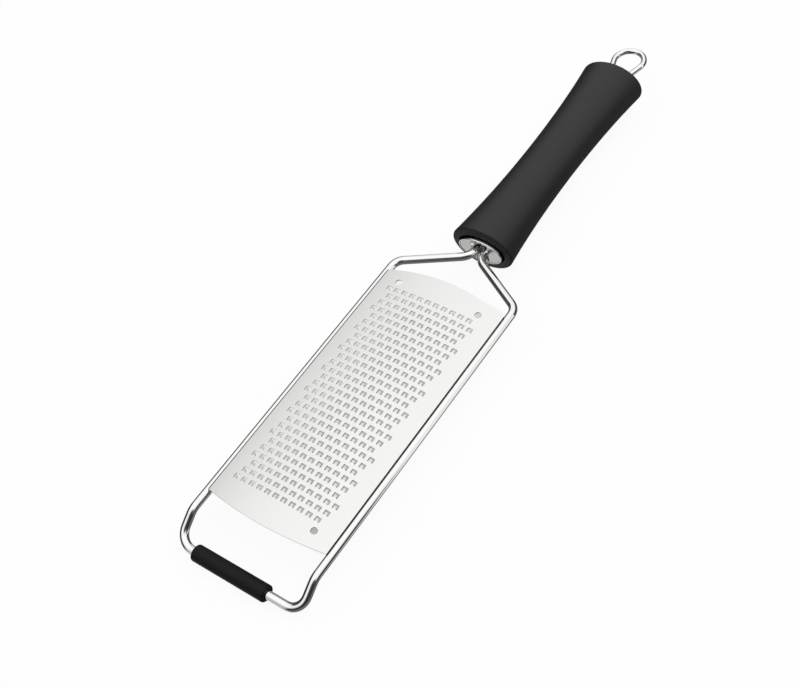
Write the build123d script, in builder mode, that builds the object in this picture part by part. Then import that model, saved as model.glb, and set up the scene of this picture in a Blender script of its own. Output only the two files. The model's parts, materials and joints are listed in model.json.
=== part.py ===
from build123d import *
import math
import os

# Rasp zester: a long-handled hand grater for citrus zest and hard cheese.
# Millimetres, +Z up. The tool lies on a table at Z = 0, resting on its grip and on the
# rubber sleeve of its foot. +Y runs from the foot to the hanging eye, X = 0 is the
# centre line, and Y = 0 is halfway along the tool.

# Overrun that carries every cut past the face it opens
overrun = 1.0

# Frame wire
wire_diameter = 3.6
rail_spacing = 60.0
tail_spacing = 4.4
tail_depth = 42.0
kink_from_mouth = 4.8
shoulder_from_blade = 8.8
leg_run = 11.8
kink_radius = 6.8
shoulder_radius = 6.0
leg_radius = 6.0
corner_radius = 6.8
bar_to_grip = 171.0

# Foot sleeve
sleeve_diameter = 7.0
sleeve_length = 35.6
sleeve_left_shift = 3.5
sleeve_edge = 0.7
sleeve_clearance = 0.05

# Rasp blade: a sheet with its long edges folded down beside the rails
blade_length = 121.0
blade_thickness = 0.5
blade_above_wire = 3.8
blade_from_bar = 20.4
flange_depth = 4.0
fold_radius = 1.2
weld_gap = 0.05
foot_bulge = 1.8
head_bulge = 5.0

# Rasp teeth: staggered rows of windows, each with a tongue raised from its foot side
column_pitch = 4.0
row_pitch = 3.84
window_width = 2.6
window_length = 2.5
tongue_width = 1.5
tongue_length = 1.7
tongue_rise = 0.75
head_margin = 6.6
foot_margin = 10.5
side_margin = 6.2
grid_left_shift = 0.7
row_stagger_shares = (0, 2 / 3, 1 / 3)

# Round holes that located the sheet in its press
locating_diameter = 3.0
locating_half_spacing = 19.8
locating_from_first_row = 3.7
locating_from_last_row = 5.3

# Grip: an oval body with flared ends and a narrow waist
grip_length = 116.0
grip_width = 29.6
grip_height = 22.0
grip_dome = 1.0
grip_wall = 2.4
mouth_lip = 0.6
grip_front_edge = 0.8
grip_rear_edge = 2.2
station_shares = (0, 0.15, 0.35, 0.6, 0.85, 1)
girth_shares = (1, 0.89, 0.78, 0.73, 0.79, 0.97)

# Ferrule: the steel plug that closes the grip's mouth round the wire
ferrule_width = 21.6
ferrule_height = 12.6
ferrule_stand = 0.9
ferrule_depth = 9.0
ferrule_edge = 0.5
ferrule_clearance = 0.05
scoop_radius = 4.6
scoop_depth = 2.4

# Core: the rigid plastic stock inside the soft grip
core_clearance = 0.1
core_end_gap = 0.3
wire_clearance = 0.05

# Hanging loop
loop_wire_diameter = 2.6
loop_radius = 7.4
loop_taper_deg = 18.0
loop_reach = 21.8
loop_leg_spacing = 4.6
loop_leg_depth = 16.0
loop_bend_radius = 6.0

# Heights
wire_radius = wire_diameter / 2
sleeve_radius = sleeve_diameter / 2
wire_z = grip_height / 2
bar_z = sleeve_radius
blade_top_z = wire_z + blade_above_wire
blade_under_z = blade_top_z - blade_thickness
flange_low_z = blade_top_z - flange_depth

# Places along the tool, in order from the foot
overall_length = sleeve_radius + bar_to_grip + grip_length + loop_reach
bar_y = sleeve_radius - overall_length / 2
leg_y = bar_y + leg_run
blade_foot_y = bar_y + blade_from_bar
blade_head_y = blade_foot_y + blade_length
shoulder_y = blade_head_y + shoulder_from_blade
mouth_y = bar_y + bar_to_grip
ferrule_face_y = mouth_y - ferrule_stand
kink_y = mouth_y - kink_from_mouth
crease_y = mouth_y + grip_dome
grip_rear_y = mouth_y + grip_length
loop_centre_y = grip_rear_y + loop_reach - loop_wire_diameter / 2 - loop_radius

# Places across the tool
rail_x = rail_spacing / 2
tail_x = tail_spacing / 2
blade_half_width = rail_x - wire_radius - weld_gap

# Rasp grid, counted from the row nearest the grip
first_row_y = blade_head_y - head_margin
row_count = int((blade_length - head_margin - foot_margin) / row_pitch) + 1
columns_room = 2 * (blade_half_width - side_margin)
column_count = int(columns_room / column_pitch - max(row_stagger_shares)) + 1
grid_width = (column_count - 1 + max(row_stagger_shares)) * column_pitch
first_column_x = -grid_left_shift - grid_width / 2
last_row_y = first_row_y - (row_count - 1) * row_pitch
rasp_width = 2 * (blade_half_width - fold_radius)


def cross_plane(y):
    """Plane square to the tool's length at y, centred on the wire, facing the foot."""
    return Plane(origin=(0, y, wire_z), x_dir=(1, 0, 0), z_dir=(0, -1, 0))


def frame_points():
    """Corners of the frame wire's centre line, from one end in the grip to the other."""
    right_side = [
        (tail_x, mouth_y + tail_depth, wire_z),
        (tail_x, kink_y, wire_z),
        (rail_x, shoulder_y, wire_z),
        (rail_x, leg_y, wire_z),
        (rail_x, bar_y, bar_z),
    ]
    left_side = [(-x, y, z) for x, y, z in reversed(right_side)]
    return right_side + left_side


def frame_radii():
    """Bend radius at each corner of the frame wire."""
    right_side = [kink_radius, shoulder_radius, leg_radius, corner_radius]
    return right_side + right_side[::-1]


def loop_points():
    """Corners of one leg of the loop, from its end in the grip to the eye's tangent point."""
    taper = math.radians(loop_taper_deg)
    leave_x = loop_radius * math.cos(taper)
    leave_y = loop_centre_y - loop_radius * math.sin(taper)
    leg_x = loop_leg_spacing / 2
    bend_y = leave_y - (leave_x - leg_x) / math.tan(taper)
    return [
        (leg_x, grip_rear_y - loop_leg_depth, wire_z),
        (leg_x, bend_y, wire_z),
        (leave_x, leave_y, wire_z),
    ]


def fold_points(inset):
    """Corners of the folded sheet's section, inset from its outside face."""
    side = blade_half_width - inset
    low = flange_low_z - wire_z
    high = blade_above_wire - inset
    return [(-side, low), (-side, high), (side, high), (side, low)]


def row_y(row):
    """Centre line of a row of windows, counted from the one nearest the grip."""
    return first_row_y - row * row_pitch


def row_windows(row):
    """Centres of one row's windows, stepped sideways from the row before."""
    stagger = row_stagger_shares[row % len(row_stagger_shares)]
    return [
        (first_column_x + (column + stagger) * column_pitch, row_y(row))
        for column in range(column_count)
    ]


def locating_places():
    """Centres of the three locating holes: two by the grip, one by the foot."""
    head_y = first_row_y + locating_from_first_row
    foot_y = last_row_y - locating_from_last_row
    return [
        (-locating_half_spacing, head_y),
        (locating_half_spacing, head_y),
        (locating_half_spacing, foot_y),
    ]


def tongue_plane(x, y):
    """Upright plane down one side of a tongue, from the upper edge of its root."""
    root = (x - tongue_width / 2, y - window_length / 2, blade_top_z)
    return Plane(origin=root, x_dir=(0, 1, 0), z_dir=(1, 0, 0))


def rasp_row(row):
    """Strip of sheet with one row of windows and the tongues raised from them.

    Each tongue is a wedge that rises from its window's foot side to a sharp edge."""
    with BuildPart() as strip:
        with BuildSketch(Plane.XY.offset(blade_top_z)):
            with Locations((0, row_y(row))):
                Rectangle(rasp_width, row_pitch)
            with Locations(*row_windows(row)):
                Rectangle(window_width, window_length, mode=Mode.SUBTRACT)
        extrude(amount=-blade_thickness)
        with BuildSketch(*[tongue_plane(x, y) for x, y in row_windows(row)]):
            with BuildLine():
                Polyline(
                    (0, 0), (tongue_length, tongue_rise), (0, -blade_thickness), close=True
                )
            make_face()
        extrude(amount=tongue_width)
    return strip.part


def sweep_loop(radius, mode=Mode.ADD):
    """Sweep a round section of this radius along the hanging loop."""
    right_leg = loop_points()
    left_leg = [(-x, y, z) for x, y, z in reversed(right_leg)]
    top = (0, loop_centre_y + loop_radius, wire_z)
    with BuildLine() as loop_line:
        FilletPolyline(*right_leg, radius=loop_bend_radius)
        ThreePointArc(right_leg[-1], top, left_leg[0])
        FilletPolyline(*left_leg, radius=loop_bend_radius)
    with BuildSketch(loop_line.line ^ 0) as section:
        Circle(radius)
    sweep(section.sketch, path=loop_line.wire(), mode=mode)


def loft_grip(inset):
    """Loft the grip's oval body through its stations, inset from the outside."""
    sections = []
    for share, girth in zip(station_shares, girth_shares):
        y = crease_y + share * (grip_rear_y - crease_y)
        with BuildSketch(cross_plane(y)) as section:
            Ellipse(grip_width / 2 * girth - inset, grip_height / 2 * girth - inset)
        sections.append(section.sketch)
    loft(sections)


# Frame: one wire, bent from the grip out to the shoulders and round the foot
with BuildPart() as wire_frame:
    with BuildLine() as frame_line:
        FilletPolyline(*frame_points(), radius=frame_radii())
    with BuildSketch(frame_line.line ^ 0):
        Circle(wire_radius)
    sweep()
wire_frame.part.label = "wire_frame"

# Foot sleeve: rubber tube pushed along the crossbar
sleeve_start = Plane(
    origin=(-sleeve_left_shift - sleeve_length / 2, bar_y, bar_z),
    x_dir=(0, 1, 0),
    z_dir=(1, 0, 0),
)
with BuildPart() as foot_sleeve:
    with BuildSketch(sleeve_start):
        Circle(sleeve_radius)
        Circle(wire_radius + sleeve_clearance, mode=Mode.SUBTRACT)
    extrude(amount=sleeve_length)
    rims = foot_sleeve.edges().filter_by(GeomType.CIRCLE).sort_by(SortBy.RADIUS)[-2:]
    fillet(rims, radius=sleeve_edge)
foot_sleeve.part.label = "foot_sleeve"

# Rasp blade
with BuildPart() as rasp_blade:
    # Folded sheet, extruded over the length of its two bulged ends
    with BuildSketch(cross_plane(blade_head_y + head_bulge)):
        with BuildLine():
            outside = FilletPolyline(*fold_points(0), radius=fold_radius)
            inside = FilletPolyline(
                *fold_points(blade_thickness), radius=fold_radius - blade_thickness
            )
            Line(outside @ 0, inside @ 0)
            Line(outside @ 1, inside @ 1)
        make_face()
    extrude(amount=blade_length + head_bulge + foot_bulge)

    # Both ends trimmed to an arc, with square corners at the folded edges
    with BuildSketch(Plane.XY.offset(flange_low_z - overrun)):
        with BuildLine():
            foot_arc = ThreePointArc(
                (-blade_half_width, blade_foot_y),
                (0, blade_foot_y - foot_bulge),
                (blade_half_width, blade_foot_y),
            )
            head_arc = ThreePointArc(
                (blade_half_width, blade_head_y),
                (0, blade_head_y + head_bulge),
                (-blade_half_width, blade_head_y),
            )
            Line(foot_arc @ 1, head_arc @ 0)
            Line(head_arc @ 1, foot_arc @ 0)
        make_face()
    extrude(amount=flange_depth + 2 * overrun, mode=Mode.INTERSECT)

    # Round locating holes, and the stretch of flat sheet that the rows of teeth replace
    with BuildSketch(Plane.XY.offset(blade_top_z + overrun)):
        with Locations(*locating_places()):
            Circle(locating_diameter / 2)
        with Locations((0, (first_row_y + last_row_y) / 2)):
            Rectangle(rasp_width, row_count * row_pitch)
    extrude(amount=-blade_thickness - 2 * overrun, mode=Mode.SUBTRACT)
    add([rasp_row(row) for row in range(row_count)])
rasp_blade.part.label = "rasp_blade"

# Ferrule: oval plug with a rounded lip, scooped out where the two wires leave it
with BuildPart() as ferrule:
    with BuildSketch(cross_plane(mouth_y + ferrule_depth)):
        Ellipse(ferrule_width / 2, ferrule_height / 2)
    extrude(amount=ferrule_depth + ferrule_stand)
    fillet(ferrule.faces().sort_by(Axis.Y)[0].edges(), radius=ferrule_edge)
    with BuildSketch(Plane.XY.offset(wire_z - ferrule_height / 2 - overrun)):
        with Locations((0, ferrule_face_y + scoop_depth - scoop_radius)):
            Circle(scoop_radius)
    extrude(amount=ferrule_height + 2 * overrun, mode=Mode.SUBTRACT)
    with BuildSketch(cross_plane(mouth_y + ferrule_depth + overrun)):
        with Locations((-tail_x, 0), (tail_x, 0)):
            Circle(wire_radius + wire_clearance)
    extrude(amount=ferrule_depth + ferrule_stand + 2 * overrun, mode=Mode.SUBTRACT)
ferrule.part.label = "ferrule"

# Hanging loop: thinner wire bent to a tapered eye, both legs anchored in the core
with BuildPart() as hanging_loop:
    sweep_loop(loop_wire_diameter / 2)
hanging_loop.part.label = "hanging_loop"

# Core: rigid stock that holds the frame's tails in front and the loop's legs behind
core_front_y = mouth_y + ferrule_depth + core_end_gap
core_rear_y = grip_rear_y - grip_wall - core_end_gap
with BuildPart() as handle_core:
    loft_grip(grip_wall + core_clearance)
    with Locations((0, (core_front_y + core_rear_y) / 2, wire_z)):
        Box(grip_width, core_rear_y - core_front_y, grip_height, mode=Mode.INTERSECT)
    with BuildSketch(cross_plane(mouth_y + tail_depth + core_end_gap)):
        with Locations((-tail_x, 0), (tail_x, 0)):
            Circle(wire_radius + wire_clearance)
    extrude(amount=tail_depth, mode=Mode.SUBTRACT)
    sweep_loop(loop_wire_diameter / 2 + wire_clearance, mode=Mode.SUBTRACT)
handle_core.part.label = "handle_core"

# Hollow of the grip, which the core fills
with BuildPart() as grip_hollow:
    loft_grip(grip_wall)
    with Locations((0, (core_front_y + core_rear_y) / 2, wire_z)):
        Box(
            grip_width,
            core_rear_y - core_front_y + 2 * core_end_gap,
            grip_height,
            mode=Mode.INTERSECT,
        )

# Grip: soft black shell with a shallow domed front round the mouth
with BuildPart() as grip:
    loft_grip(0)
    with BuildSketch(cross_plane(crease_y)):
        Ellipse(grip_width / 2, grip_height / 2)
    with BuildSketch(cross_plane(mouth_y)):
        Ellipse(ferrule_width / 2 + mouth_lip, ferrule_height / 2 + mouth_lip)
    loft(ruled=True)
    rings = ShapeList(edge for edge in grip.edges() if edge.is_closed).sort_by(Axis.Y)
    fillet(rings[-1], radius=grip_rear_edge)
    rings = ShapeList(edge for edge in grip.edges() if edge.is_closed).sort_by(Axis.Y)
    fillet(rings[1], radius=grip_front_edge)
    with BuildSketch(cross_plane(mouth_y + ferrule_depth + core_end_gap)):
        Ellipse(
            ferrule_width / 2 + ferrule_clearance, ferrule_height / 2 + ferrule_clearance
        )
    extrude(amount=ferrule_depth + core_end_gap + overrun, mode=Mode.SUBTRACT)
    add(grip_hollow.part, mode=Mode.SUBTRACT)
    sweep_loop(loop_wire_diameter / 2 + wire_clearance, mode=Mode.SUBTRACT)
grip.part.label = "grip"

os.makedirs("parts", exist_ok=True)
pieces = (wire_frame, rasp_blade, foot_sleeve, ferrule, handle_core, grip, hanging_loop)
for piece in pieces:
    export_step(piece.part, f"parts/{piece.part.label}.step")
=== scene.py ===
# %% [markdown]
# # A rasp zester, from packed solids to a dressed scene
#
# The tool is a long-handled hand grater. A steel sheet full of small teeth is held by one
# bent chrome wire. The wire ends in a steel plug that closes a soft black grip. A wire eye
# hangs the tool up, and a rubber sleeve on the foot keeps it from sliding.
#
# The solids come in already placed. This script gives every piece a finish and sets up a
# small photo studio. Four solids are plainer than the real thing, so it draws them again
# as meshes in the same place: the toothed sheet, the soft grip, the steel plug and the
# wire eye.

# %% Load the frame
import json
import math

import bmesh
import bpy
from mathutils import Matrix, Vector
from mathutils.geometry import delaunay_2d_cdt

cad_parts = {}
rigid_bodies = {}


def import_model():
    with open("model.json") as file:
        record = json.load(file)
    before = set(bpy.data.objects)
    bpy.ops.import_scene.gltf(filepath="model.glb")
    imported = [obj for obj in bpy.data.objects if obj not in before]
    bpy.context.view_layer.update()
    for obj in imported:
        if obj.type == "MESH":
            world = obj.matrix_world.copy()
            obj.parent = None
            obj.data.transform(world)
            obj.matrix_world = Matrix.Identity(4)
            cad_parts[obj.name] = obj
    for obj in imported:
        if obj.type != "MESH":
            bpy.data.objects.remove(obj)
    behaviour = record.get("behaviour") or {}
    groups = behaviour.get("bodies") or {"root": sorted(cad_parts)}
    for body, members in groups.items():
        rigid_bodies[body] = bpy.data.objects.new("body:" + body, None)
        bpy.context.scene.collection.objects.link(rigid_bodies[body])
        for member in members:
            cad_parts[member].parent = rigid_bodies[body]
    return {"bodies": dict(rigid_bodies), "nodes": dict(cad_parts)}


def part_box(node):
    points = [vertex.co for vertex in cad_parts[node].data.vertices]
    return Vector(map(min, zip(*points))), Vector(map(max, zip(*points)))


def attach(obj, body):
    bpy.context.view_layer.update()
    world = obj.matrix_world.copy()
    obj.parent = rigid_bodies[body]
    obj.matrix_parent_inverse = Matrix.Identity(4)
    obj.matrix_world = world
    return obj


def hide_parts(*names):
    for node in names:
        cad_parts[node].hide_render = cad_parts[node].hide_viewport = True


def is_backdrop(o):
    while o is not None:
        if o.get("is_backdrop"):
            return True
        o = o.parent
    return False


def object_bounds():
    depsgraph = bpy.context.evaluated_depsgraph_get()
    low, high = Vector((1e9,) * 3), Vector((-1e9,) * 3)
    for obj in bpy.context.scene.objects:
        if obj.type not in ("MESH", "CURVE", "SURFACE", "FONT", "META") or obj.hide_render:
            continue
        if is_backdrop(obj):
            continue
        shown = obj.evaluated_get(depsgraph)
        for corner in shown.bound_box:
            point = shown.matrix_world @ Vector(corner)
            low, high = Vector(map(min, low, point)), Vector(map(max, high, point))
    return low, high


MM = 0.001

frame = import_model()
nodes = frame["nodes"]
body = next(iter(frame["bodies"]))
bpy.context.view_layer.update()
print("nodes:", sorted(nodes))

# %% [markdown]
# ## Writing shader maths as Python
#
# A node tree is a drawing of a formula. Long formulas are easier to read as text, so a
# small class wraps an output socket and overloads the operators. `1 - mask * 0.3` then adds
# a Multiply node and a Subtract node by itself. Any other node comes from one method,
# `node`, which takes the node's type, its settings and the values or links of its inputs.

# %% A socket that takes part in Python expressions
class Socket:
    """An output socket that adds Math nodes when it is used in an expression."""

    def __init__(self, tree, output):
        self.tree = tree
        self.output = output

    def math(self, operation, *values):
        return self.tree.node("ShaderNodeMath", {"operation": operation}, list(values))

    def __add__(self, other):
        return self.math("ADD", self, other)

    def __sub__(self, other):
        return self.math("SUBTRACT", self, other)

    def __mul__(self, other):
        return self.math("MULTIPLY", self, other)

    def __radd__(self, other):
        return self.math("ADD", other, self)

    def __rsub__(self, other):
        return self.math("SUBTRACT", other, self)

    def __neg__(self):
        return self.math("MULTIPLY", self, -1)

    def __abs__(self):
        return self.math("ABSOLUTE", self)


# %% A node tree that is filled in one call per node
MIX_FIRST = 6
MIX_SECOND = 7
MIX_RESULT = 2


class Tree:
    """Adds nodes to a material's or the world's tree and links their sockets."""

    def __init__(self, owner):
        owner.use_nodes = True
        self.tree = owner.node_tree
        self.tree.nodes.clear()

    def node(self, kind, settings=None, inputs=None, out=0):
        """Add a node, apply its settings, then set or link its inputs."""
        node = self.tree.nodes.new(kind)
        for name, value in (settings or {}).items():
            setattr(node, name, value)
        pairs = enumerate(inputs) if isinstance(inputs, list) else (inputs or {}).items()
        for key, value in pairs:
            if isinstance(value, Socket):
                self.tree.links.new(value.output, node.inputs[key])
            else:
                node.inputs[key].default_value = value
        return Socket(self, node.outputs[out]) if node.outputs else None

    def mix(self, share, first, second):
        """Colour that goes from first to second as share goes from 0 to 1."""
        inputs = {"Factor": share, MIX_FIRST: rgba(first), MIX_SECOND: rgba(second)}
        return self.node("ShaderNodeMix", {"data_type": "RGBA"}, inputs, out=MIX_RESULT)

    def step(self, value, low, high):
        """0 below low, 1 above high, and a smooth ramp between them."""
        settings = {"interpolation_type": "SMOOTHSTEP"}
        return self.node("ShaderNodeMapRange", settings, [value, low, high])

    def place(self, stretch=(1, 1, 1)):
        """Place on the piece in metres, stretched by a factor along each axis."""
        point = self.node("ShaderNodeTexCoord", out="Object")
        inputs = {"Vector": point, "Scale": stretch}
        return self.node("ShaderNodeMapping", None, inputs)

    def axis(self, vector, name):
        """One of a vector's three numbers, as X, Y or Z."""
        return self.node("ShaderNodeSeparateXYZ", None, [vector], out=name)

    def noise(self, vector, scale, detail=2.0, roughness=0.5):
        """Soft random grey, with this many blobs to the metre."""
        inputs = {"Vector": vector, "Scale": scale, "Detail": detail, "Roughness": roughness}
        return self.node("ShaderNodeTexNoise", None, inputs)


def rgba(colour):
    """A colour with its alpha, where it isn't a link already."""
    return colour if isinstance(colour, Socket) else (*colour, 1)


print("node tree methods:", [name for name in vars(Tree) if not name.startswith("_")])


# %% [markdown]
# ## The camera
#
# The grid of teeth in the photograph is regular, so its perspective fixes the camera: it
# stands to the right of the foot and looks down at the tool from about 50 degrees. The
# camera turns a little about its own axis, so it is placed by its three directions. A
# focal length in pixels becomes one in millimetres through the sensor's width.

# %% Set the camera
FRAME_WIDTH_PX = 800
FOCAL_LENGTH_PX = 1288.9
SENSOR_WIDTH = 36.0
camera_place = Vector((0.2424, -0.25883, 0.4172))
camera_up = Vector((-0.358, 0.713, 0.602))
camera_ahead = Vector((-0.469, 0.421, -0.777)).normalized()

camera_right = camera_ahead.cross(camera_up).normalized()
camera_up = camera_right.cross(camera_ahead)
lens = bpy.data.cameras.new("camera")
lens.sensor_width = SENSOR_WIDTH
lens.lens = SENSOR_WIDTH * FOCAL_LENGTH_PX / FRAME_WIDTH_PX
lens.clip_start = 0.01
camera = bpy.data.objects.new("camera", lens)
turn = Matrix((camera_right, camera_up, -camera_ahead)).transposed()
camera.matrix_world = Matrix.Translation(camera_place) @ turn.to_4x4()
bpy.context.scene.collection.objects.link(camera)
bpy.context.scene.camera = camera
bpy.context.scene.view_settings.view_transform = "Standard"
print("lens:", round(lens.lens, 1), "mm")

# %% [markdown]
# ## The floor
#
# The photograph shows the tool on plain white. A white floor under soft light is never
# quite white in a render, so the floor's own colour is mixed with a white that only the
# camera sees. The part that stays a real surface still catches the shadow. Under the blade
# a mask keeps more of the real surface, which paints shade there: the floor shows grey
# through the windows between the teeth, a little paler towards the head.

# %% Make the floor
FLOOR_HALF = 6.0

floor_mesh = bpy.data.meshes.new("floor")
corners = [(-1, -1), (1, -1), (1, 1), (-1, 1)]
corner_points = [(x * FLOOR_HALF, y * FLOOR_HALF, 0) for x, y in corners]
floor_mesh.from_pydata(corner_points, [], [(0, 1, 2, 3)])
floor = bpy.data.objects.new("floor", floor_mesh)
bpy.context.scene.collection.objects.link(floor)
floor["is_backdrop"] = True
print("floor:", 2 * FLOOR_HALF, "m wide")

# %% Let the camera see the floor as white, with painted shade under the blade
FLOOR_SHADE = 0.9
GLOW_SHARE = 0.93
# Painted shade under the blade: how much of the camera-only white is taken away there.
GLOW_LOST_UNDER_BLADE = 0.72
LEFT_FADE = (-42 * MM, -8 * MM)
RIGHT_FADE = (14 * MM, 26 * MM)
FOOT_FADE = (-130 * MM, -122 * MM)
HEAD_FADE = (-4 * MM, 3 * MM)
SHADE_PALING = (-120 * MM, -5 * MM)
SHADE_PALING_SHARE = 0.06

floor_finish = bpy.data.materials.new("floor_white")
tree = Tree(floor_finish)
spot = tree.place()
spot_x, spot_y = tree.axis(spot, "X"), tree.axis(spot, "Y")
# Painted shade: under the blade the floor loses most of its camera-only white, so its shadow
# shows grey, paling a little towards the head.
under_x = tree.step(spot_x, *LEFT_FADE) * (1 - tree.step(spot_x, *RIGHT_FADE))
under_y = tree.step(spot_y, *FOOT_FADE) * (1 - tree.step(spot_y, *HEAD_FADE))
shade_paling = 1 - tree.step(spot_y, *SHADE_PALING) * SHADE_PALING_SHARE
glow_share = GLOW_SHARE - under_x * under_y * shade_paling * GLOW_LOST_UNDER_BLADE
seen = tree.node("ShaderNodeLightPath", out="Is Camera Ray")
paper = tree.node("ShaderNodeBsdfDiffuse", None, {"Color": rgba((FLOOR_SHADE,) * 3)})
glow = tree.node("ShaderNodeEmission", None, {"Color": (1, 1, 1, 1), "Strength": 1.0})
surface = tree.node("ShaderNodeMixShader", None, [seen * glow_share, paper, glow])
tree.node("ShaderNodeOutputMaterial", None, {"Surface": surface})
floor_mesh.materials.append(floor_finish)
floor.visible_glossy = False
print("floor finish:", len(floor_finish.node_tree.nodes), "nodes")

# %% [markdown]
# ## The light
#
# Polished wire is a mirror, so what makes it look like metal is the room around it. In the
# photograph the wires are white on top, where they see a large soft ceiling light, and
# their sides change from grey to nearly black as they bend, because each bend looks at
# another part of the studio. The world therefore has two faces. Surfaces that scatter
# light get an even white from all around. Mirror rays see a simple studio, put together
# from the bands on the photographed wires: a ceiling, two upright strips, one low panel
# behind the blade and one in front of the plug, a dim ground, and two black cards.

# %% Name directions and soft shapes around the tool
world = bpy.data.worlds.new("studio")
bpy.context.scene.world = world
tree = Tree(world)
ray = tree.node("ShaderNodeTexCoord", out="Generated")
height = tree.axis(ray, "Z")


def sine(degrees):
    """Sine of an angle in degrees."""
    return math.sin(math.radians(degrees))


def cosine(degrees):
    """Cosine of an angle in degrees."""
    return math.cos(math.radians(degrees))


def compass(azimuth, elevation):
    """Direction at an azimuth from +X towards +Y and an elevation, in degrees."""
    flat = cosine(elevation)
    return (flat * cosine(azimuth), flat * sine(azimuth), sine(elevation))


def along(direction):
    """How far the ray points along a direction: the cosine of the angle between them."""
    settings = {"operation": "DOT_PRODUCT"}
    return tree.node("ShaderNodeVectorMath", settings, [ray, direction], out="Value")


def panel(azimuth, elevation, inner, outer):
    """Round soft panel: 1 within inner degrees of its centre and 0 beyond outer."""
    return tree.step(along(compass(azimuth, elevation)), cosine(outer), cosine(inner))


def strip(azimuth, inner, outer, low, high):
    """Upright soft strip at an azimuth, which fades in upwards from low to high degrees."""
    beside = 1 - tree.step(abs(along(compass(azimuth + 90, 0))), sine(inner), sine(outer))
    ahead = tree.step(along(compass(azimuth, 0)), 0.0, 0.2)
    return beside * ahead * tree.step(height, sine(low), sine(high))


def brightest(first, *others):
    """The brightest of several shades."""
    for other in others:
        first = first.math("MAXIMUM", first, other)
    return first


print("straight up is", [round(v, 2) for v in compass(0, 90)])

# %% Make the studio that the metal reflects
CEILING_SHADE = 1.2
CEILING_RIM_SHARE = 0.94
ZENITH_LIFT = 0.12
RIGHT_STRIP_SHARE = 0.85
LEFT_STRIP_SHARE = 0.5
LOW_PANEL_SHARE = 0.95
FRONT_PANEL_SHARE = 0.75
GROUND_SHARE = 0.12
CARD_DARKNESS = 0.97
WALL_SHADE = 0.03
ZENITH_EDGE = (sine(40), sine(85))
CEILING_EDGE = (sine(10), sine(38))
GROUND_EDGE = (sine(-26), sine(-4))

zenith = tree.step(height, *ZENITH_EDGE)
ceiling = tree.step(height, *CEILING_EDGE) * (CEILING_RIM_SHARE + zenith * ZENITH_LIFT)
right_strip = strip(azimuth=26, inner=4, outer=8, low=-64, high=-28)
left_strip = strip(azimuth=-121, inner=4, outer=14, low=-46, high=-16)
low_panel = panel(azimuth=117, elevation=12, inner=8, outer=24)
front_panel = panel(azimuth=-136, elevation=-50, inner=10, outer=20)
ground = 1 - tree.step(height, *GROUND_EDGE)
strips = brightest(right_strip * RIGHT_STRIP_SHARE, left_strip * LEFT_STRIP_SHARE)
panels = brightest(low_panel * LOW_PANEL_SHARE, front_panel * FRONT_PANEL_SHARE)
light = brightest(ceiling, strips, panels, ground * GROUND_SHARE)
right_card = panel(azimuth=-48, elevation=28, inner=16, outer=38)
left_card = panel(azimuth=-168, elevation=8, inner=22, outer=38)
black_cards = brightest(right_card, left_card)
shade = WALL_SHADE + light * CEILING_SHADE * (1 - black_cards * CARD_DARKNESS)
studio_colour = tree.node("ShaderNodeCombineXYZ", None, [shade, shade, shade])
print("studio:", len(world.node_tree.nodes), "nodes")

# %% Show each kind of ray its own face of the world
SKY_STRENGTH = 0.62

mirror_ray = tree.node("ShaderNodeLightPath", out="Is Glossy Ray")
camera_ray = tree.node("ShaderNodeLightPath", out="Is Camera Ray")
clear_ray = tree.node("ShaderNodeLightPath", out="Is Transmission Ray")
soft_white = tree.mix(brightest(camera_ray, clear_ray), (SKY_STRENGTH,) * 3, (1, 1, 1))
colour = tree.mix(mirror_ray, soft_white, studio_colour)
sky = tree.node("ShaderNodeBackground", None, {"Color": colour, "Strength": 1.0})
tree.node("ShaderNodeOutputWorld", None, {"Surface": sky})
print("world:", len(world.node_tree.nodes), "nodes")

# %% Hang two soft lamps
def soft_lamp(name, azimuth, elevation, distance, size, power):
    """Square lamp that points at the tool and doesn't show in the metal."""
    lamp = bpy.data.lights.new(name, "AREA")
    lamp.shape = "SQUARE"
    lamp.size = size
    lamp.energy = power
    holder = bpy.data.objects.new(name, lamp)
    holder.location = Vector(compass(azimuth, elevation)) * distance
    holder.rotation_euler = (-holder.location).to_track_quat("-Z", "Y").to_euler()
    holder.visible_glossy = False
    bpy.context.scene.collection.objects.link(holder)
    return holder


key = soft_lamp("key_lamp", azimuth=60, elevation=58, distance=1.4, size=0.9, power=7.0)
fill = soft_lamp("fill_lamp", azimuth=-150, elevation=50, distance=1.5, size=1.2, power=3.0)
print("lamps:", key.name, fill.name)

# %% [markdown]
# ## The toothed sheet
#
# The real blade is a thin sheet that bows up between the rails, with its long edges on top
# of the wire. Each window in it has rounded corners, and a small curved tongue with a sharp
# edge stands up from its foot side. A mesh with hundreds of holes is easiest to draw flat.
# The plan is a set of closed loops of points, a constrained triangulation fills the steel
# between them, and only then is every point lifted onto the crown. A few spare points
# between the rows keep the triangles small, so that the bow shades smoothly.

# %% Read the sheet's seats from the frame
WIRE_RADIUS = 1.8 * MM
WELD_GAP = 0.05 * MM
SHEET_WIDTH = 58.2 * MM
SHEET_LENGTH = 122.0 * MM
SHEET_FROM_BAR = 21.2 * MM
SHEET_THICKNESS = 0.5 * MM
SHEET_CROWN = 2.38 * MM
FOOT_BULGE = 3.0 * MM
HEAD_BULGE = 3.8 * MM

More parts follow.
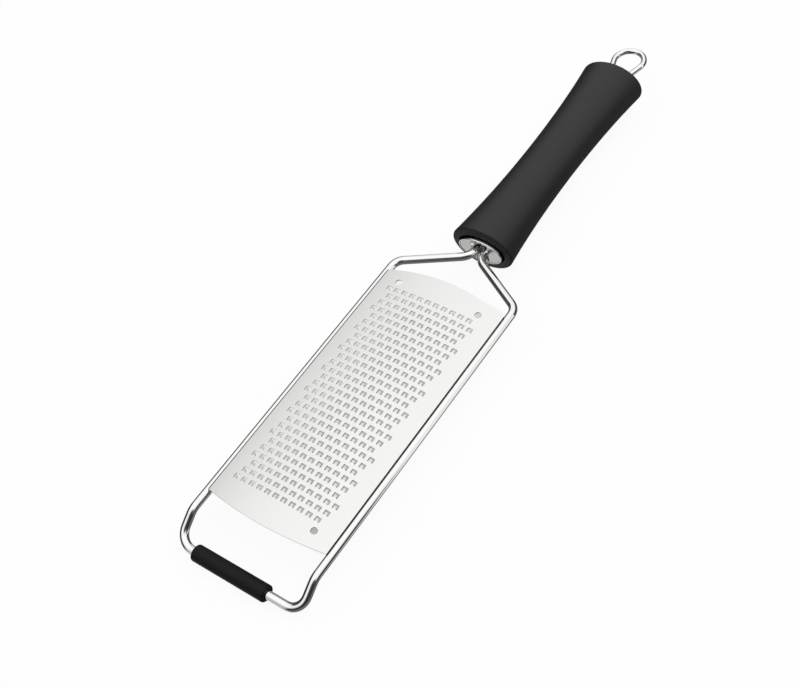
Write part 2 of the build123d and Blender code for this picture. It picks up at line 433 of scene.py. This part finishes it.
frame_low, frame_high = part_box("wire_frame")
rail_x = frame_high[0] - WIRE_RADIUS
wire_z = frame_high[2] - WIRE_RADIUS
bar_y = frame_low[1] + WIRE_RADIUS
half_width = SHEET_WIDTH / 2
foot_y = bar_y + SHEET_FROM_BAR
head_y = foot_y + SHEET_LENGTH
edge_rise = math.sqrt((WIRE_RADIUS + WELD_GAP) ** 2 - (rail_x - half_width) ** 2)
crown_z = wire_z + edge_rise + SHEET_THICKNESS + SHEET_CROWN
crown_radius = (half_width**2 + SHEET_CROWN**2) / (2 * SHEET_CROWN)
print("sheet from", round(foot_y / MM, 1), "to", round(head_y / MM, 1), "mm")
print("crown at", round(crown_z / MM, 2), "mm, bent to", round(crown_radius / MM), "mm")

# %% Lay out the windows, the tongues and the round holes
COLUMN_PITCH = 4.0 * MM
ROW_PITCH = 3.84 * MM
ROWS = 28
COLUMNS = 11
ROW_STAGGER_SHARES = (0, 2 / 3, 1 / 3)
HEAD_MARGIN = 8.8 * MM
GRID_LEFT_SHIFT = 0.45 * MM
HOLE_RADIUS = 1.5 * MM
HOLE_X = 19.8 * MM
HOLE_FROM_FIRST_ROW = 4.2 * MM
HOLE_FROM_LAST_ROW = 4.45 * MM

first_row_y = head_y - HEAD_MARGIN
last_row_y = first_row_y - (ROWS - 1) * ROW_PITCH
grid_width = (COLUMNS - 1 + max(ROW_STAGGER_SHARES)) * COLUMN_PITCH
first_column_x = -GRID_LEFT_SHIFT - grid_width / 2
windows = []
for row in range(ROWS):
    stagger = ROW_STAGGER_SHARES[row % len(ROW_STAGGER_SHARES)]
    for column in range(COLUMNS):
        x = first_column_x + (column + stagger) * COLUMN_PITCH
        windows.append((x, first_row_y - row * ROW_PITCH))
holes = [
    (-HOLE_X, first_row_y + HOLE_FROM_FIRST_ROW),
    (HOLE_X, first_row_y + HOLE_FROM_FIRST_ROW),
    (HOLE_X, last_row_y - HOLE_FROM_LAST_ROW),
]
print("windows:", len(windows), "round holes:", len(holes))


# %% Draw the loops of the flat plan
WINDOW_WIDTH = 2.5 * MM
WINDOW_LENGTH = 2.2 * MM
WINDOW_CORNER = 0.35 * MM
CORNER_STEPS = 4
TONGUE_WIDTH = 1.3 * MM
HOLE_STEPS = 40
EDGE_STEPS = 48


def arc(centre, radius, start, turn, steps):
    """Points along an arc, which turns by this many degrees from the start."""
    angles = [math.radians(start + turn * step / steps) for step in range(steps + 1)]
    return [(centre[0] + radius * math.cos(a), centre[1] + radius * math.sin(a)) for a in angles]


def window_loop(x, y):
    """Window with rounded corners, clockwise from one side of its tongue's root to the other."""
    points = [(x - TONGUE_WIDTH / 2, y - WINDOW_LENGTH / 2)]
    across, lengthwise = WINDOW_WIDTH / 2 - WINDOW_CORNER, WINDOW_LENGTH / 2 - WINDOW_CORNER
    for corner, (side, end) in enumerate([(-1, -1), (-1, 1), (1, 1), (1, -1)]):
        centre = (x + side * across, y + end * lengthwise)
        points += arc(centre, WINDOW_CORNER, -90 * (corner + 1), -90, CORNER_STEPS)
    return points + [(x + TONGUE_WIDTH / 2, y - WINDOW_LENGTH / 2)]


def end_y(x, middle_bulge, corner_y):
    """Bulged end of the sheet: its y at x across the tool."""
    return corner_y + middle_bulge * (1 - (x / half_width) ** 2)


def outline_loop():
    """Outline of the whole sheet, counterclockwise from the left corner of its foot."""
    across = [half_width * (2 * step / EDGE_STEPS - 1) for step in range(EDGE_STEPS + 1)]
    foot = [(x, end_y(x, -FOOT_BULGE, foot_y)) for x in across]
    head = [(x, end_y(x, HEAD_BULGE, head_y)) for x in reversed(across)]
    ticks = [first_row_y - row * ROW_PITCH for row in range(ROWS)]
    right = [(half_width, y) for y in reversed(ticks)]
    left = [(-half_width, y) for y in ticks]
    return foot + right + head + left


print("points round a window:", len(window_loop(0, 0)))
print("points round the sheet:", len(outline_loop()))

# %% Scatter spare points over the steel between the rows
SPARE_STEP = COLUMN_PITCH / 3
SPARE_CLEARANCE = 0.8 * MM
SPARE_ROWS_AHEAD = 3
SPARE_ROWS_BEHIND = 2


def is_on_steel(x, y):
    """Whether a spare point lies well inside the sheet and clear of the round holes."""
    if abs(x) > half_width - SPARE_CLEARANCE:
        return False
    low = end_y(x, -FOOT_BULGE, foot_y) + SPARE_CLEARANCE
    high = end_y(x, HEAD_BULGE, head_y) - SPARE_CLEARANCE
    reach = HOLE_RADIUS + SPARE_CLEARANCE
    return low < y < high and all(math.dist((x, y), hole) > reach for hole in holes)


spare_rows = int(SHEET_LENGTH / ROW_PITCH) + SPARE_ROWS_BEHIND
spare_columns = int(half_width / SPARE_STEP) + 1
spares = []
for row in range(-SPARE_ROWS_AHEAD, spare_rows):
    for column in range(-spare_columns, spare_columns + 1):
        x = -GRID_LEFT_SHIFT + column * SPARE_STEP
        y = first_row_y + ROW_PITCH / 2 - row * ROW_PITCH
        if is_on_steel(x, y):
            spares.append((x, y))
print("spare points:", len(spares))

# %% Fill the plan with triangles, and drop those that close a window or a hole
INSIDE_OUTLINE = 1
SAME_POINT_MM = 1e-4

loops = [outline_loop()]
loops += [arc(hole, HOLE_RADIUS, 0, -360, HOLE_STEPS)[:-1] for hole in holes]
loops += [window_loop(x, y) for x, y in windows]
plan, rings, fences, ring_of = [], [], [], {}
for number, loop in enumerate(loops):
    ring = list(range(len(plan), len(plan) + len(loop)))
    plan += loop
    rings.append(ring)
    ring_of.update({source: number for source in ring})
    fences += zip(ring, ring[1:] + ring[:1])
plan = [Vector(point) / MM for point in plan + spares]
filled = delaunay_2d_cdt(plan, fences, [], INSIDE_OUTLINE, SAME_POINT_MM)
flat_points, triangles, sources = [point * MM for point in filled[0]], filled[2], filled[3]
place_of = {source: place for place, group in enumerate(sources) for source in group}


def is_steel(triangle):
    """Whether a triangle is steel: in an opening, all its corners are on one inner loop."""
    numbers = {ring_of.get(sources[place][0]) for place in triangle}
    return len(numbers) > 1 or numbers <= {0, None}


triangles = [triangle for triangle in triangles if is_steel(triangle)]
print("triangles in the plan:", len(triangles))

# %% Lift the plan onto the crown
def sheet_top(x):
    """Height of the crowned sheet's top at x across the tool."""
    return crown_z - crown_radius + math.sqrt(crown_radius**2 - x**2)


points = [(p.x, p.y, sheet_top(p.x)) for p in flat_points]
points += [(p.x, p.y, sheet_top(p.x) - SHEET_THICKNESS) for p in flat_points]
under = len(flat_points)
faces = [tuple(triangle) for triangle in triangles]
faces += [tuple(place + under for place in reversed(triangle)) for triangle in triangles]
for number, ring in enumerate(rings):
    places = [place_of[source] for source in ring]
    is_window = number > len(holes)
    following = places[1:] if is_window else places[1:] + places[:1]
    faces += [(b, a, a + under, b + under) for a, b in zip(places, following)]
print("faces before the tongues:", len(faces))

# %% Raise a tongue from the foot side of each window
TONGUE_LENGTH = 1.35 * MM
TONGUE_RISE = 0.3 * MM
TONGUE_TAPER_SHARE = 0.1
TONGUE_CURL = 1.25
TONGUE_EDGE = 0.06 * MM
TONGUE_STEPS = 4


def tongue_ring(x, y, share):
    """Section of a tongue at a share of its length, left to right over the top and back."""
    side = TONGUE_WIDTH / 2 * (1 - TONGUE_TAPER_SHARE * share)
    along_y = y - WINDOW_LENGTH / 2 + TONGUE_LENGTH * share
    rise = TONGUE_RISE * share**TONGUE_CURL
    thick = SHEET_THICKNESS + (TONGUE_EDGE - SHEET_THICKNESS) * share
    corners = [(-side, 0), (side, 0), (side, -thick), (-side, -thick)]
    return [(x + dx, along_y, sheet_top(x + dx) + rise + dz) for dx, dz in corners]


for (x, y), ring in zip(windows, rings[1 + len(holes):]):
    left, right = place_of[ring[0]], place_of[ring[-1]]
    before = [left, right, right + under, left + under]
    for step in range(1, TONGUE_STEPS + 1):
        after = list(range(len(points), len(points) + 4))
        points += tongue_ring(x, y, step / TONGUE_STEPS)
        faces += zip(before, before[1:] + before[:1], after[1:] + after[:1], after)
        before = after
    faces.append(tuple(before))
print("sheet:", len(points), "points,", len(faces), "faces")


# %% Turn the points and faces into an object
SHARP_DEGREES = 35


def mesh_piece(name, points, faces, node):
    """Closed mesh with smooth shading between sharp edges, which stands for a solid."""
    mesh = bpy.data.meshes.new(name)
    mesh.from_pydata(points, [], faces)
    shape = bmesh.new()
    shape.from_mesh(mesh)
    bmesh.ops.recalc_face_normals(shape, faces=shape.faces)
    shape.to_mesh(mesh)
    shape.free()
    mesh.shade_smooth()
    mesh.set_sharp_from_angle(angle=math.radians(SHARP_DEGREES))
    piece = bpy.data.objects.new(name, mesh)
    bpy.context.scene.collection.objects.link(piece)
    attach(piece, body)
    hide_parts(node)
    return piece


rasp_sheet = mesh_piece("rasp_sheet", points, faces, "rasp_blade")
print("sheet:", len(rasp_sheet.data.polygons), "faces in the mesh")

# %% [markdown]
# ## The grip
#
# The grip is a soft black shell, oval in section, widest at its two ends and narrow in the
# waist. A stack of oval rings makes such a form: each ring has a place along the tool and a
# size. The sizes come from one smooth curve through six stations. The ends are rings too. In
# front a rounded rim and a shallow dome run round the mouth that the steel plug closes, and
# a rounded rim leads to a flat end at the back.

# %% Find the grip's girth between its stations
GRIP_LENGTH = 114.6 * MM
GRIP_HALF_WIDTH = 14.95 * MM
GRIP_HALF_HEIGHT = 11.0 * MM
GRIP_HIGHEST = 10.95 * MM
GRIP_DOME = 1.0 * MM
STATION_SHARES = (0, 0.15, 0.35, 0.6, 0.85, 1)
GIRTH_SHARES = (1, 0.896, 0.821, 0.816, 0.906, 1.018)


def girth(share):
    """Girth at a share of the grip's length, on the one curve through all stations."""
    total = 0
    for here, size in zip(STATION_SHARES, GIRTH_SHARES):
        others = [station for station in STATION_SHARES if station != here]
        total += size * math.prod((share - other) / (here - other) for other in others)
    return total


plug_low, plug_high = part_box("ferrule")
PLUG_STAND = 0.75 * MM
mouth_y = plug_low[1] + PLUG_STAND
crease_y = mouth_y + GRIP_DOME
rear_y = mouth_y + GRIP_LENGTH
print("girth at the waist:", round(min(girth(step / 50) for step in range(51)), 3))

# %% Stack the grip's rings
RING_POINTS = 96
BODY_RINGS = 60
RIM_STEPS = 8
FRONT_RIM = 0.9 * MM
FRONT_RIM_TURN = math.radians(75)
REAR_RIM = 1.6 * MM
QUARTER_TURN = math.radians(90)
MOUTH_LIP = 0.7 * MM
MOUTH_DEPTH = 6.0 * MM
CAP_SHARES = (0.75, 0.5, 0.25, 0.08)

mouth_half_width = (plug_high[0] - plug_low[0]) / 2 + MOUTH_LIP
mouth_half_height = (plug_high[2] - plug_low[2]) / 2 + MOUTH_LIP
grip_rings = [(mouth_y + MOUTH_DEPTH, mouth_half_width, mouth_half_height)]
grip_rings.append((mouth_y + MOUTH_LIP, mouth_half_width, mouth_half_height))


def body_ring(y, inset):
    """Ring of the grip's body at y, pulled in by an inset."""
    size = girth((y - crease_y) / (rear_y - crease_y))
    high = min(GRIP_HALF_HEIGHT * size - inset, GRIP_HIGHEST)
    return (y, GRIP_HALF_WIDTH * size - inset, high)


for step in range(RIM_STEPS + 1):
    angle = FRONT_RIM_TURN * (1 - step / RIM_STEPS)
    y = crease_y + FRONT_RIM * (1 - math.sin(angle))
    grip_rings.append(body_ring(y, FRONT_RIM * (1 - math.cos(angle))))
start, stop = crease_y + FRONT_RIM, rear_y - REAR_RIM
for step in range(1, BODY_RINGS):
    grip_rings.append(body_ring(start + (stop - start) * step / BODY_RINGS, 0))
for step in range(RIM_STEPS + 1):
    angle = QUARTER_TURN * step / RIM_STEPS
    y = rear_y - REAR_RIM * (1 - math.sin(angle))
    grip_rings.append(body_ring(y, REAR_RIM * (1 - math.cos(angle))))
end_width, end_height = grip_rings[-1][1:]
grip_rings += [(rear_y, end_width * share, end_height * share) for share in CAP_SHARES]
print("grip rings:", len(grip_rings))

# %% Join the rings to a skin
def skin_faces(ring_total):
    """Quads that join each ring of points to the next one."""
    quads = []
    for start in range(0, (ring_total - 1) * RING_POINTS, RING_POINTS):
        for step in range(RING_POINTS):
            here, beside = start + step, start + (step + 1) % RING_POINTS
            quads.append((here, beside, beside + RING_POINTS, here + RING_POINTS))
    return quads


points = []
for y, wide, high in grip_rings:
    for step in range(RING_POINTS):
        angle = math.tau * step / RING_POINTS
        points.append((wide * math.cos(angle), y, wire_z + high * math.sin(angle)))
faces = skin_faces(len(grip_rings))
faces.append(tuple(range(RING_POINTS)))
faces.append(tuple(range(len(points) - RING_POINTS, len(points))))
soft_grip = mesh_piece("soft_grip", points, faces, "grip")
print("grip:", len(points), "points,", len(faces), "faces")

# %% [markdown]
# ## The steel plug
#
# The plug in the grip's mouth has a bright rounded rim with a fine groove inside it. The
# flat face lies a little lower, and a valley across its middle lets the two wires out. The
# rim runs on over the valley. It could be cut with a boolean, but all of it is one skin of
# oval rings again, so only the depth of a point behind the rim changes from place to place.

# %% Find how deep the plug's face lies
VALLEY_RADIUS = 4.6 * MM
VALLEY_DEPTH = 2.4 * MM
VALLEY_END = 1.3 * MM
VALLEY_FADE = 1.4 * MM

plug_half_width = (plug_high[0] - plug_low[0]) / 2
plug_half_height = (plug_high[2] - plug_low[2]) / 2
plug_front_y = plug_low[1]


def blend(value, low, high):
    """0 below low, 1 above high, and a smooth ramp between them."""
    share = min(max((value - low) / (high - low), 0), 1)
    return share * share * (3 - 2 * share)


def valley_depth(x, z):
    """Depth of the valley that lets the wires out, at a place on the plug's face."""
    flat_part = VALLEY_RADIUS - VALLEY_DEPTH
    if abs(x) >= math.sqrt(VALLEY_RADIUS**2 - flat_part**2):
        return 0
    end = plug_half_height - VALLEY_END
    depth = math.sqrt(VALLEY_RADIUS**2 - x**2) - flat_part
    return depth * (1 - blend(abs(z), end - VALLEY_FADE, end))


print("valley:", round(valley_depth(0, 0) / MM, 2), "mm deep")

# %% Stack the plug's rings
PLUG_RINGS = 30
PLUG_RIM = 0.35 * MM
PLUG_RIM_TOP = 0.15 * MM
GROOVE_WIDTH = 0.3 * MM
GROOVE_DEPTH = 0.5 * MM
FACE_DEPTH = 0.15 * MM


def plug_ring(inset, depth, has_valley=False):
    """Oval ring of points on the plug, pulled in by an inset and lowered by a depth."""
    ring = []
    for step in range(RING_POINTS):
        angle = math.tau * step / RING_POINTS
        x = (plug_half_width - inset) * math.cos(angle)
        z = (plug_half_height - inset) * math.sin(angle)
        valley = valley_depth(x, z) if has_valley else 0
        ring.append((x, plug_front_y + depth + valley, wire_z + z))
    return ring


points = plug_ring(0, PLUG_STAND + MOUTH_DEPTH)
for step in range(RIM_STEPS + 1):
    angle = QUARTER_TURN * step / RIM_STEPS
    points += plug_ring(PLUG_RIM * (1 - math.cos(angle)), PLUG_RIM * (1 - math.sin(angle)))
groove_start = PLUG_RIM + PLUG_RIM_TOP
face_start = groove_start + GROOVE_WIDTH
points += plug_ring(groove_start, 0)
points += plug_ring(groove_start, GROOVE_DEPTH)
points += plug_ring(face_start, GROOVE_DEPTH)
for step in range(PLUG_RINGS):
    inset = face_start + (plug_half_height - face_start) * step / PLUG_RINGS
    points += plug_ring(inset, FACE_DEPTH, has_valley=True)
print("plug rings:", len(points) // RING_POINTS)

# %% Join the plug's rings, and close its middle with a row of quads
ring_total = len(points) // RING_POINTS
faces = skin_faces(ring_total)
last = (ring_total - 1) * RING_POINTS
for step in range(1, RING_POINTS // 2 - 1):
    upper, lower = last + step, last + RING_POINTS - step
    faces.append((upper, upper + 1, lower - 1, lower))
faces.append((last, last + 1, last + RING_POINTS - 1))
middle = last + RING_POINTS // 2
faces.append((middle, middle + 1, middle - 1))
faces.append(tuple(range(RING_POINTS)))
steel_plug = mesh_piece("steel_plug", points, faces, "ferrule")
print("plug:", len(points), "points,", len(faces), "faces")

# %% [markdown]
# ## The wire eye
#
# The eye is one thinner wire, bent to a tapered loop with both ends in the grip. A Bezier
# curve with a round bevel is made for wire. An arc is exact enough when each handle has the
# right length for the arc's turn, so the loop needs only a few points. The curve is turned
# into a mesh at the end, since a curve's box also counts its handles.

# %% Find the eye's points
EYE_WIRE_RADIUS = 1.3 * MM
EYE_RADIUS = 6.95 * MM
EYE_REACH = 22.75 * MM
EYE_TAPER = math.radians(16)
EYE_LEG_X = 2.3 * MM
EYE_LEG_DEPTH = 8.0 * MM
EYE_BEND = 1.6 * MM
BEND_PULL = 0.6 * EYE_BEND
SHORT_PULL = 1.0 * MM

eye_y = rear_y + EYE_REACH - EYE_WIRE_RADIUS - EYE_RADIUS
leave_x = EYE_RADIUS * math.cos(EYE_TAPER)
leave_y = eye_y - EYE_RADIUS * math.sin(EYE_TAPER)
bend_y = leave_y - (leave_x - EYE_LEG_X) / math.tan(EYE_TAPER)
arc_handle = 4 / 3 * math.tan((math.pi / 2 + EYE_TAPER) / 4) * EYE_RADIUS
outward = Vector((math.sin(EYE_TAPER), math.cos(EYE_TAPER), 0))
leg_end = Vector((EYE_LEG_X, rear_y - EYE_LEG_DEPTH, wire_z))
bend = Vector((EYE_LEG_X, bend_y, wire_z))
leave = Vector((leave_x, leave_y, wire_z))
straight = Vector((0, 1, 0))
stations = [
    (leg_end, straight * SHORT_PULL, straight * SHORT_PULL),
    (bend - straight * EYE_BEND, straight * SHORT_PULL, straight * BEND_PULL),
    (bend + outward * EYE_BEND, outward * BEND_PULL, outward * SHORT_PULL),
    (leave, outward * SHORT_PULL, outward * arc_handle),
]
top = Vector((0, eye_y + EYE_RADIUS, wire_z))
side_pull = Vector((-arc_handle, 0, 0))
path = [(p, p - back, p + ahead) for p, back, ahead in stations]
flip = Vector((-1, 1, 1))
mirrored = [(p * flip, after * flip, before * flip) for p, before, after in reversed(path)]
path = path + [(top, top - side_pull, top + side_pull)] + mirrored
print("points along the eye:", len(path))

# %% Bend the wire along them
EYE_BEVEL_STEPS = 8
EYE_CURVE_STEPS = 24

curve = bpy.data.curves.new("wire_eye", "CURVE")
curve.dimensions = "3D"
curve.bevel_depth = EYE_WIRE_RADIUS
curve.bevel_resolution = EYE_BEVEL_STEPS
curve.use_fill_caps = True
curve.resolution_u = EYE_CURVE_STEPS
spline = curve.splines.new("BEZIER")
spline.bezier_points.add(len(path) - 1)
for knot, (place, before, after) in zip(spline.bezier_points, path):
    knot.co, knot.handle_left, knot.handle_right = place, before, after
bent = bpy.data.objects.new("bent_curve", curve)
tube = bpy.data.meshes.new_from_object(bent)
bpy.data.objects.remove(bent)
tube.shade_smooth()
wire_eye = bpy.data.objects.new("wire_eye", tube)
bpy.context.scene.collection.objects.link(wire_eye)
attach(wire_eye, body)
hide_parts("hanging_loop")
print("eye reaches", round((top.y + EYE_WIRE_RADIUS) / MM, 2), "mm")

# %% [markdown]
# ## Finishes
#
# Each finish starts from the same few ideas: a base colour, a roughness that wanders a
# little, and a bump too fine to see as shape but enough to break up a highlight. All of it
# comes from noise at the piece's real size, so no picture is needed.

# %% A starter for every finish
def finish(name, settings, metallic=0.0):
    """New material with one Principled shader; settings are its fixed values."""
    material = bpy.data.materials.new(name)
    tree = Tree(material)
    inputs = {"Metallic": metallic, **settings}
    shader = tree.node("ShaderNodeBsdfPrincipled", None, inputs)
    tree.node("ShaderNodeOutputMaterial", None, {"Surface": shader})
    return material, tree, shader.output.node


def link(tree, socket, shader, name):
    """Feed one input of the shader from a socket."""
    tree.tree.links.new(socket.output, shader.inputs[name])


def bump(tree, height, distance, strength=1.0):
    """Turn a height, in shares of distance, into a shading normal."""
    inputs = {"Height": height, "Distance": distance, "Strength": strength}
    return tree.node("ShaderNodeBump", None, inputs)


def dress(piece, material):
    """Give a piece its finish in place of any that it has."""
    slots = piece.data.materials
    slots.clear()
    slots.append(material)
    print(f"{piece.name}: {material.name}")


# %% [markdown]
# ### Polished wire
#
# The frame and the eye are polished steel wire. A full metal with very low roughness would
# do, but a real wire was drawn through a die, which leaves faint scratches along it. Noise
# that is stretched along the tool stands in for them.

# %% Give the wires their chrome
CHROME_DULL = (0.74, 0.735, 0.725)
CHROME_BRIGHT = (0.80, 0.80, 0.795)
CHROME_ROUGHNESS = 0.035
SCRATCH_STRETCH = (1, 0.12, 1)
SCRATCH_DEPTH = 0.004 * MM


def chrome_finish():
    """Polished steel with faint scratches along the tool."""
    material, tree, shader = finish("bright_chrome", {}, metallic=1.0)
    cloud = tree.noise(tree.place(), 90.0)
    scratch = tree.noise(tree.place(SCRATCH_STRETCH), 2600.0)
    link(tree, tree.mix(cloud, CHROME_DULL, CHROME_BRIGHT), shader, "Base Color")
    link(tree, CHROME_ROUGHNESS + cloud * 0.03 + scratch * 0.02, shader, "Roughness")
    link(tree, bump(tree, scratch, SCRATCH_DEPTH), shader, "Normal")
    return material


chrome = chrome_finish()
dress(wire_eye, chrome)
dress(nodes["wire_frame"], chrome)

# %% [markdown]
# ### Satin sheet
#
# The sheet was brushed along its length before it was pierced, so its grain is noise that is
# stretched far along the tool. The tongues get a slightly darker steel, and they are found by
# how far their surface leans along the tool. Where the sheet's cut edges meet the rails there
# is a fine dark line of shade in the gap between sheet and wire, so the last fraction of a
# millimetre beside each edge is painted nearly black as shade.

# %% Give the sheet its satin steel
SHEET_DULL = (0.725, 0.72, 0.708)
SHEET_BRIGHT = (0.765, 0.763, 0.754)
# Darker steel for surfaces that lean along the tool, which are the tongues.
LEANING_STEEL = (0.62, 0.615, 0.605)
LEANING_RANGE = (0.08, 0.2)
# Painted shade beside the rails: its near-black colour and the widths of the strips.
CREVICE_SHADE_BLACK = (0.03, 0.03, 0.032)
RIGHT_CREVICE_SHADE = 0.22 * MM
LEFT_CREVICE_SHADE = 0.55 * MM
LEFT_CREVICE_SHADE_FADE = 0.7
LEFT_CREVICE_SHADE_SHARE = 0.95
SHEET_ROUGHNESS = 0.30
BRUSH_STRETCH = (1, 0.02, 1)
BRUSH_DEPTH = 0.006 * MM


def blade_finish():
    """Brushed steel, darker on the tongues, with painted shade beside the rails."""
    material, tree, shader = finish("blade_satin", {}, metallic=1.0)
    point = tree.place()
    grain = tree.noise(tree.place(BRUSH_STRETCH), 9000.0, detail=3.0)
    cloud = tree.noise(point, 38.0)
    lean = abs(tree.axis(tree.node("ShaderNodeNewGeometry", out="Normal"), "Y"))
    steel = tree.mix(cloud, SHEET_DULL, SHEET_BRIGHT)
    # Surfaces that lean along the tool, the tongues, get a darker steel colour.
    steel = tree.mix(tree.step(lean, *LEANING_RANGE), steel, LEANING_STEEL)
    x = tree.axis(point, "X")
    # Painted shade: a near-black strip along each long edge stands for the shade in the gap
    # between the sheet and the rail.
    right_crevice_shade = tree.step(x, half_width - RIGHT_CREVICE_SHADE, half_width - RIGHT_CREVICE_SHADE / 2)
    left_crevice_shade = tree.step(-x, half_width - LEFT_CREVICE_SHADE, half_width - LEFT_CREVICE_SHADE * LEFT_CREVICE_SHADE_FADE)
    crevice_shades = brightest(right_crevice_shade, left_crevice_shade * LEFT_CREVICE_SHADE_SHARE)
    link(tree, tree.mix(crevice_shades, steel, CREVICE_SHADE_BLACK), shader, "Base Color")
    link(tree, SHEET_ROUGHNESS + cloud * 0.05 + grain * 0.06, shader, "Roughness")
    link(tree, bump(tree, grain, BRUSH_DEPTH), shader, "Normal")
    return material


dress(rasp_sheet, blade_finish())

# %% [markdown]
# ### Plug
#
# The plug has a satin flat face inside a polished rim, and its valley is painted dark as
# the shade that the wires and the mouth cast there. One material can hold all three. The
# face is where the surface looks straight ahead and lies a little behind the rim. The
# painted valley shade is where it lies deeper.

# %% Give the plug its satin face and painted valley shade
RIM_STEEL = (0.84, 0.84, 0.83)
FACE_DULL = (0.53, 0.53, 0.525)
FACE_BRIGHT = (0.58, 0.58, 0.57)
FACE_LOOKS_AHEAD = (0.95, 0.99)
# Painted shade: the dark colour of the valley, where the wires and the mouth shade it.
VALLEY_SHADE = (0.22, 0.22, 0.22)
VALLEY_STARTS = (0.4 * MM, 1.4 * MM)
PLUG_ROUGHNESS = 0.06
PLUG_GRAIN_DEPTH = 0.01 * MM


def ferrule_finish():
    """Steel that is satin on the flat face, polished on the rim, with painted shade in the
    valley.
    """
    material, tree, shader = finish("ferrule_satin", {}, metallic=1.0)
    point = tree.place()
    cloud = tree.noise(point, 160.0)
    fine = tree.noise(point, 9000.0, detail=3.0)
    facing = -tree.axis(tree.node("ShaderNodeNewGeometry", out="Normal"), "Y")
    lowered = tree.axis(point, "Y") - plug_front_y
    face = tree.step(facing, *FACE_LOOKS_AHEAD) * tree.step(lowered, FACE_DEPTH / 2, FACE_DEPTH)
    steel = tree.mix(face, RIM_STEEL, tree.mix(cloud, FACE_DULL, FACE_BRIGHT))
    # Painted shade: the deeper valley gets a dark steel colour for the shade of the wires and
    # the mouth.
    steel = tree.mix(tree.step(lowered, *VALLEY_STARTS), steel, VALLEY_SHADE)
    link(tree, steel, shader, "Base Color")
    link(tree, PLUG_ROUGHNESS + face * 0.2 + fine * 0.04, shader, "Roughness")
    link(tree, bump(tree, fine, PLUG_GRAIN_DEPTH), shader, "Normal")
    return material


dress(steel_plug, ferrule_finish())

# %% [markdown]
# ### Black plastic and rubber
#
# The grip is soft black plastic and the foot sleeve is rubber. What the eye takes for the
# colour of such a black is mostly the light that its skin reflects, so the base colours are
# nearly zero, and the specular level and the roughness set how dark each one looks. A fine
# moulded grain spreads the highlight. The core is hidden inside the grip and stays plain.

# %% Give the grip its soft black
GRIP_BLACKS = ((0.0025, 0.0025, 0.0027), (0.0045, 0.0045, 0.0045))
GRIP_SPECULAR = 0.5
GRIP_ROUGHNESS = 0.44
GRIP_GRAIN_DEPTH = 0.03 * MM


def grip_finish():
    """Soft black with a fine grain that spreads the highlight."""
    material, tree, shader = finish("soft_black", {"Specular IOR Level": GRIP_SPECULAR})
    point = tree.place()
    cloud = tree.noise(point, 60.0)
    grain = tree.noise(point, 4200.0, detail=3.0, roughness=0.6)
    link(tree, tree.mix(cloud, *GRIP_BLACKS), shader, "Base Color")
    link(tree, GRIP_ROUGHNESS + cloud * 0.05 + grain * 0.08, shader, "Roughness")
    link(tree, bump(tree, grain, GRIP_GRAIN_DEPTH), shader, "Normal")
    return material


dress(soft_grip, grip_finish())

# %% Give the sleeve its rubber
SLEEVE_BLACKS = ((0.003, 0.003, 0.003), (0.005, 0.005, 0.005))
SLEEVE_SPECULAR = 0.2
SLEEVE_ROUGHNESS = 0.50
SLEEVE_GRAIN_DEPTH = 0.02 * MM


def sleeve_finish():
    """Matt rubber, duller than the grip."""
    material, tree, shader = finish("sleeve_rubber", {"Specular IOR Level": SLEEVE_SPECULAR})
    point = tree.place()
    cloud = tree.noise(point, 300.0)
    grain = tree.noise(point, 5200.0, detail=3.0, roughness=0.6)
    link(tree, tree.mix(cloud, *SLEEVE_BLACKS), shader, "Base Color")
    link(tree, SLEEVE_ROUGHNESS + grain * 0.12, shader, "Roughness")
    link(tree, bump(tree, grain, SLEEVE_GRAIN_DEPTH), shader, "Normal")
    return material


dress(nodes["foot_sleeve"], sleeve_finish())

# %% Give the hidden core plain plastic
CORE_BLACKS = ((0.05, 0.05, 0.05), (0.07, 0.07, 0.07))
CORE_ROUGHNESS = 0.45


def core_finish():
    """Plain moulded plastic."""
    material, tree, shader = finish("core_black", {})
    grain = tree.noise(tree.place(), 900.0)
    link(tree, tree.mix(grain, *CORE_BLACKS), shader, "Base Color")
    link(tree, CORE_ROUGHNESS + grain * 0.1, shader, "Roughness")
    return material


dress(nodes["handle_core"], core_finish())

# %% Write the sizes and finish
low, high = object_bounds()
print("visual box:", [round(v / MM, 1) for v in (*low, *high)], "mm")
